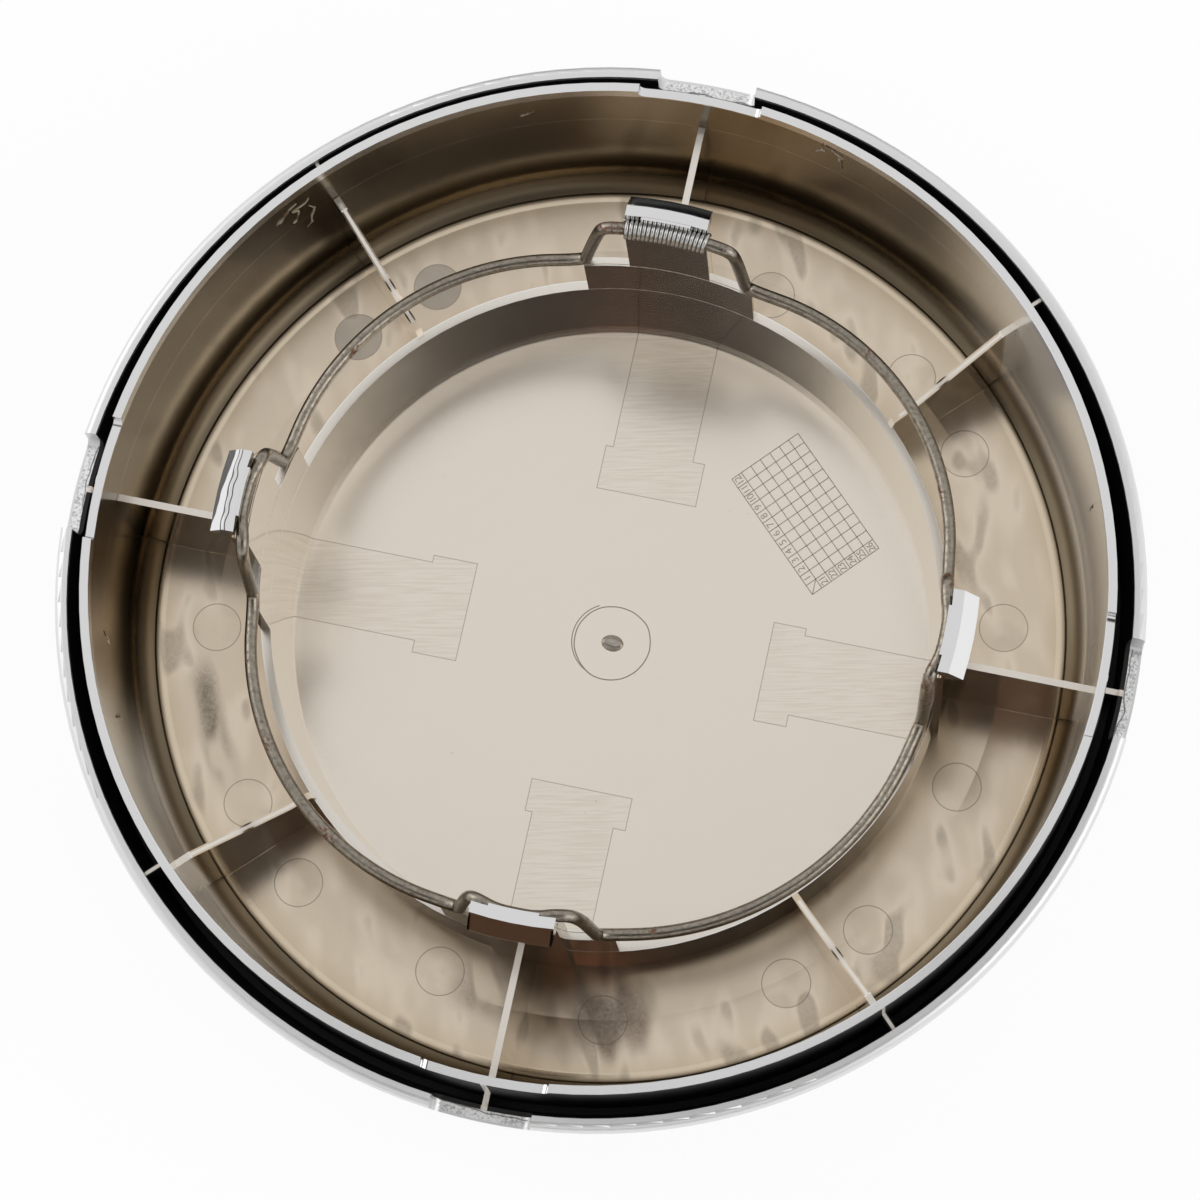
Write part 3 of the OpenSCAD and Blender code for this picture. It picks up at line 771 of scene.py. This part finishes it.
def make_stage(props):
    """Floor, world, camera at the picture's place, two side lamps and the cards round the cap."""
    scene = bpy.context.scene
    scene.view_settings.view_transform = "Standard"
    half, low = 3000, -0.05
    floor = add_mesh("floor", [(-half, -half, low), (half, -half, low), (half, half, low),
                               (-half, half, low)], [(0, 1, 2, 3)], smooth=False)
    floor.data.materials.append(floor_material())
    make_world(props.ambient)

    look = Vector(LOOK).normalized()
    side = look.cross(Vector(UP)).normalized()
    up = side.cross(look)
    lens = bpy.data.cameras.new("camera")
    lens.lens, lens.sensor_width, lens.sensor_fit = FOCAL_LENGTH, 36.0, "HORIZONTAL"
    lens.clip_start, lens.clip_end = 0.01, 20
    camera = bpy.data.objects.new("camera", lens)
    scene.collection.objects.link(camera)
    turn = Matrix((side, up, -look)).transposed()
    camera.matrix_world = Matrix.Translation(Vector(EYE) * MM) @ turn.to_4x4()
    scene.camera = camera

    for name, place in (("lamp_left", (-0.9, 0.25, 0.7)), ("lamp_right", (0.9, -0.15, 0.7))):
        add_lamp(name, place, (0, 0, 0.02), 0.8, props.side_lamp)
    for name, *shape in OVERHEAD_CARDS:
        add_overhead(name, *shape)
    for name, *shape in UPRIGHT_CARDS:
        add_upright(name, *shape)
    add_card("card_low", LOW_CARD, JET)


# Properties

class CapMetal(bpy.types.PropertyGroup):
    """Colours of the platings and of the wire."""
    nickel: FloatVectorProperty(
        name="Satin nickel", description="Warm satin plating inside the bowl",
        subtype="COLOR", default=(0.84, 0.77, 0.675), min=0, max=1)
    floor_tone: FloatVectorProperty(
        name="Floor tone", description="Share of the satin nickel on the outer floor",
        default=(0.81, 0.75, 0.67), min=0, max=1)
    wall_tone: FloatVectorProperty(
        name="Wall tone", description="Share of the satin nickel on the bowl's wall",
        default=(0.54, 0.51, 0.44), min=0, max=1)
    fillet_tone: FloatVectorProperty(
        name="Fillet tone", description="Share of the satin nickel on the foot of the wall",
        default=(0.25, 0.22, 0.17), min=0, max=1)
    # pale colour painted as a highlight on the tops of the ribs, the ring and the shoulders
    edge: FloatVectorProperty(name="Highlighted tops", description="Pale plating on the tops of ribs and ring",
                              subtype="COLOR", default=(0.86, 0.81, 0.74), min=0, max=1)
    chrome: FloatVectorProperty(name="Bright chrome", description="Bright plating of the rim and hooks",
                                subtype="COLOR", default=(0.80, 0.80, 0.80), min=0, max=1)
    steel: FloatVectorProperty(name="Wire steel", description="Drawn steel of the retaining wire",
                               subtype="COLOR", default=(0.36, 0.32, 0.265), min=0, max=1)
    rust: FloatVectorProperty(name="Rust", description="Rust spots on the wire",
                              subtype="COLOR", default=(0.16, 0.06, 0.025), min=0, max=1)


class CapWire(bpy.types.PropertyGroup):
    """Sizes of the retaining wire and its coil."""
    wire_d: FloatProperty(name="Wire diameter (mm)", description="Diameter of the retaining wire",
                          default=2.0, min=1.6, max=2.2)
    wire_sides: IntProperty(name="Wire sides", description="Facets round the wire",
                            default=24, min=8, max=48)
    coil_wire: FloatProperty(name="Coil wire (mm)", description="Diameter of the coil's own wire",
                             default=0.64, min=0.5, max=0.66)
    coil_len: FloatProperty(name="Coil length (mm)", description="Length of the coil along the groove",
                            default=13.2, min=9, max=14)
    coil_turns: IntProperty(name="Turns", description="Number of turns of the coil",
                            default=19, min=12, max=20)


class CapMarks(bpy.types.PropertyGroup):
    """Sizes of the mould's raised marks."""
    line: FloatProperty(name="Grid line (mm)", description="Width of the dating table's lines",
                        default=0.16, min=0.05, max=0.5)
    number: FloatProperty(name="Number height (mm)", description="Size of the dating table's numbers",
                          default=1.75, min=0.5, max=2.5)
    lint_r: FloatProperty(name="Scrapings (mm)", description="Radius of the scrapings on the wall",
                          default=0.10, min=0.02, max=0.3)
    pip_r: FloatProperty(name="Gate pip (mm)", description="Radius of the stump in the gate mark",
                         default=1.5, min=0.5, max=3)


class CapStudio(bpy.types.PropertyGroup):
    """Light of the studio."""
    ambient: FloatProperty(name="Ambient", description="Strength of the even light",
                           default=0.9, min=0, max=2)
    side_lamp: FloatProperty(name="Side lamps (W)", description="Power of the two side lamps",
                             default=2.5, min=0, max=50)


# Operators

class CAP_OT_stage(bpy.types.Operator):
    """Make the floor, the light and the camera"""
    bl_idname = "cap.stage"
    bl_label = "Stage"

    def execute(self, context):
        make_stage(context.scene.cap_studio)
        return {"FINISHED"}


class CAP_OT_body(bpy.types.Operator):
    """Give the moulding its platings and mould marks"""
    bl_idname = "cap.body"
    bl_label = "Body finish"

    def execute(self, context):
        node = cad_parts["cap_body"]
        node.data.materials.clear()
        node.data.materials.append(body_finish(context.scene.cap_metal))
        return {"FINISHED"}


class CAP_OT_wire(bpy.types.Operator):
    """Bend the retaining wire"""
    bl_idname = "cap.wire"
    bl_label = "Retaining wire"

    def execute(self, context):
        make_wire(context.scene.cap_wire)
        return {"FINISHED"}


class CAP_OT_coil(bpy.types.Operator):
    """Wind the coil over the wire's ends"""
    bl_idname = "cap.coil"
    bl_label = "Coil"

    def execute(self, context):
        make_coil(context.scene.cap_wire)
        return {"FINISHED"}


class CAP_OT_marks(bpy.types.Operator):
    """Raise the dating table and the gate's stump, and lay the scrapings on the wall"""
    bl_idname = "cap.marks"
    bl_label = "Mould marks"

    def execute(self, context):
        make_grid(context.scene.cap_marks)
        make_pip(context.scene.cap_marks)
        make_lint(context.scene.cap_marks)
        return {"FINISHED"}


STEPS = ("stage", "body", "marks", "wire", "coil")


class CAP_PT_panel(bpy.types.Panel):
    """Sizes, colours and steps of the cap"""
    bl_label = "Centre cap"
    bl_idname = "CAP_PT_panel"
    bl_space_type = "VIEW_3D"
    bl_region_type = "UI"
    bl_category = "Centre cap"

    def draw(self, context):
        for group in (context.scene.cap_metal, context.scene.cap_marks, context.scene.cap_wire,
                      context.scene.cap_studio):
            for key in group.bl_rna.properties.keys():
                if key not in {"rna_type", "name"}:
                    self.layout.prop(group, key)
        for step in STEPS:
            self.layout.operator("cap." + step)


CLASSES = (CapMetal, CapMarks, CapWire, CapStudio, CAP_OT_stage, CAP_OT_body, CAP_OT_marks,
           CAP_OT_wire, CAP_OT_coil, CAP_PT_panel)


def register():
    for cls in CLASSES:
        bpy.utils.register_class(cls)
    bpy.types.Scene.cap_metal = PointerProperty(type=CapMetal)
    bpy.types.Scene.cap_marks = PointerProperty(type=CapMarks)
    bpy.types.Scene.cap_wire = PointerProperty(type=CapWire)
    bpy.types.Scene.cap_studio = PointerProperty(type=CapStudio)


def unregister():
    del bpy.types.Scene.cap_metal, bpy.types.Scene.cap_marks
    del bpy.types.Scene.cap_wire, bpy.types.Scene.cap_studio
    for cls in reversed(CLASSES):
        bpy.utils.unregister_class(cls)


def main():
    """Make everything."""
    register()
    for step in STEPS:
        getattr(bpy.ops.cap, step)()
    bpy.context.view_layer.update()


if __name__ == "__main__":
    main()
